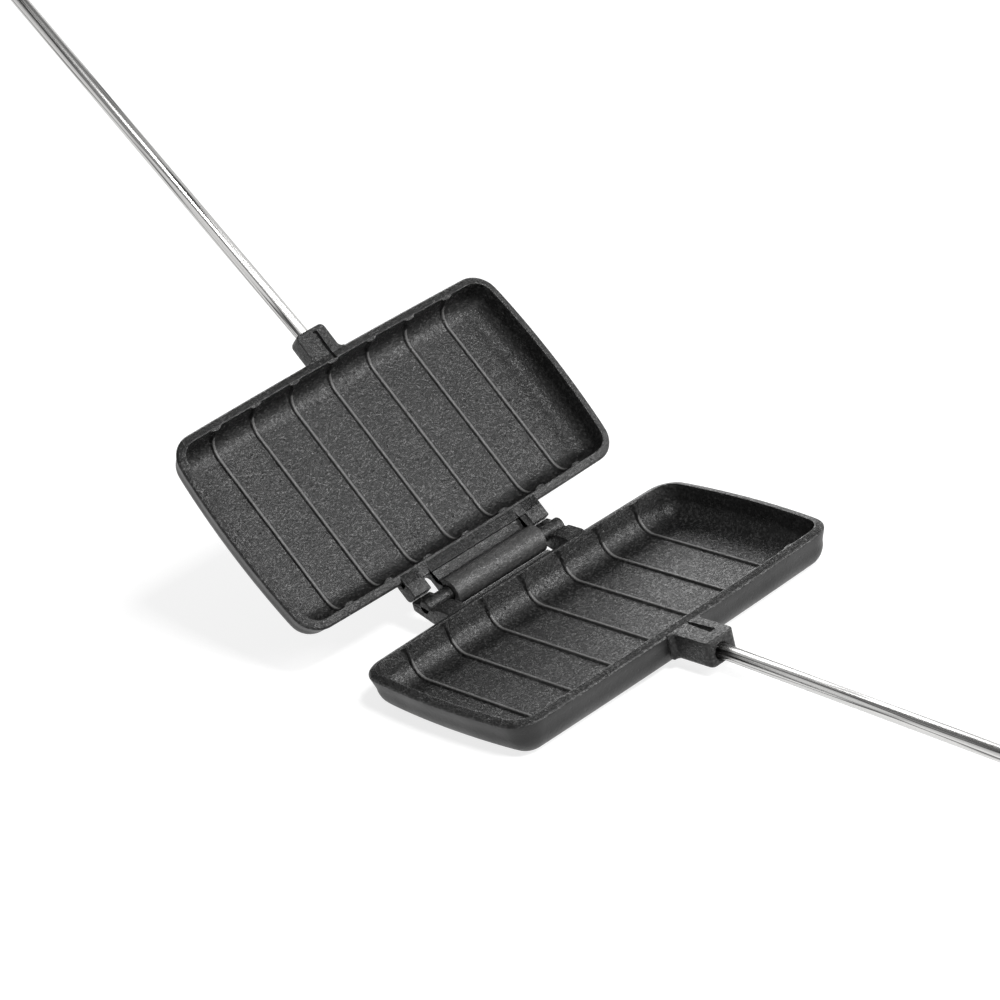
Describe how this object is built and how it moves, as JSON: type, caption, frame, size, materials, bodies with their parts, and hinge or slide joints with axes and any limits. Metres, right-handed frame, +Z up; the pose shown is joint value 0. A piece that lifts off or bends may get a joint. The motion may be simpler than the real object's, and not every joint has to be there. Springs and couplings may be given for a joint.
{
  "type": "long-handled sandwich iron",
  "caption": "Long-handled sandwich iron: ribbed cast-iron pans joined by a lift-off hook hinge, each on a straight steel rod with a turned wooden grip, and a swing latch on the rods.",
  "frame": {"origin": "centre of the lower pan's flat base", "axes": "+Z up out of the lower pan, +X towards the lower handle, +Y along the hinge"},
  "size_m": [1.1729, 0.234, 0.5382],
  "materials": {
    "pan_iron": "seasoned, sand-cast grain",
    "rod_steel": "bright drawn",
    "fitting_steel": "satin",
    "grip_wood": "oiled"
  },
  "bodies": {
    "lower_half": {"lower_pan": "pan_iron", "lower_rod": "rod_steel", "lower_rod_pin": "fitting_steel", "lower_ferrule": "fitting_steel", "lower_grip": "grip_wood", "lower_grip_washer": "fitting_steel", "lower_grip_nut": "fitting_steel", "latch_screw": "fitting_steel", "latch_washer": "fitting_steel"},
    "upper_half": {"upper_pan": "pan_iron", "upper_rod": "rod_steel", "upper_rod_pin": "fitting_steel", "upper_ferrule": "fitting_steel", "upper_grip": "grip_wood", "upper_grip_washer": "fitting_steel", "upper_grip_nut": "fitting_steel", "latch_catch": "fitting_steel"},
    "latch": {"latch_hook": "fitting_steel"}
  },
  "joints": [
    {"name": "pan_hinge", "type": "hinge", "parent": "lower_half", "child": "upper_half", "pos_m": [-0.0829, 0, 0.021], "axis": [0, 1, 0], "range_deg": [0, 131.5]},
    {"name": "latch_swing", "type": "hinge", "parent": "lower_half", "child": "latch", "pos_m": [0.43389, -0.01893, 0.0126], "axis": [0.0541, 0.9985, 0], "range_deg": [0, 90]}
  ]
}
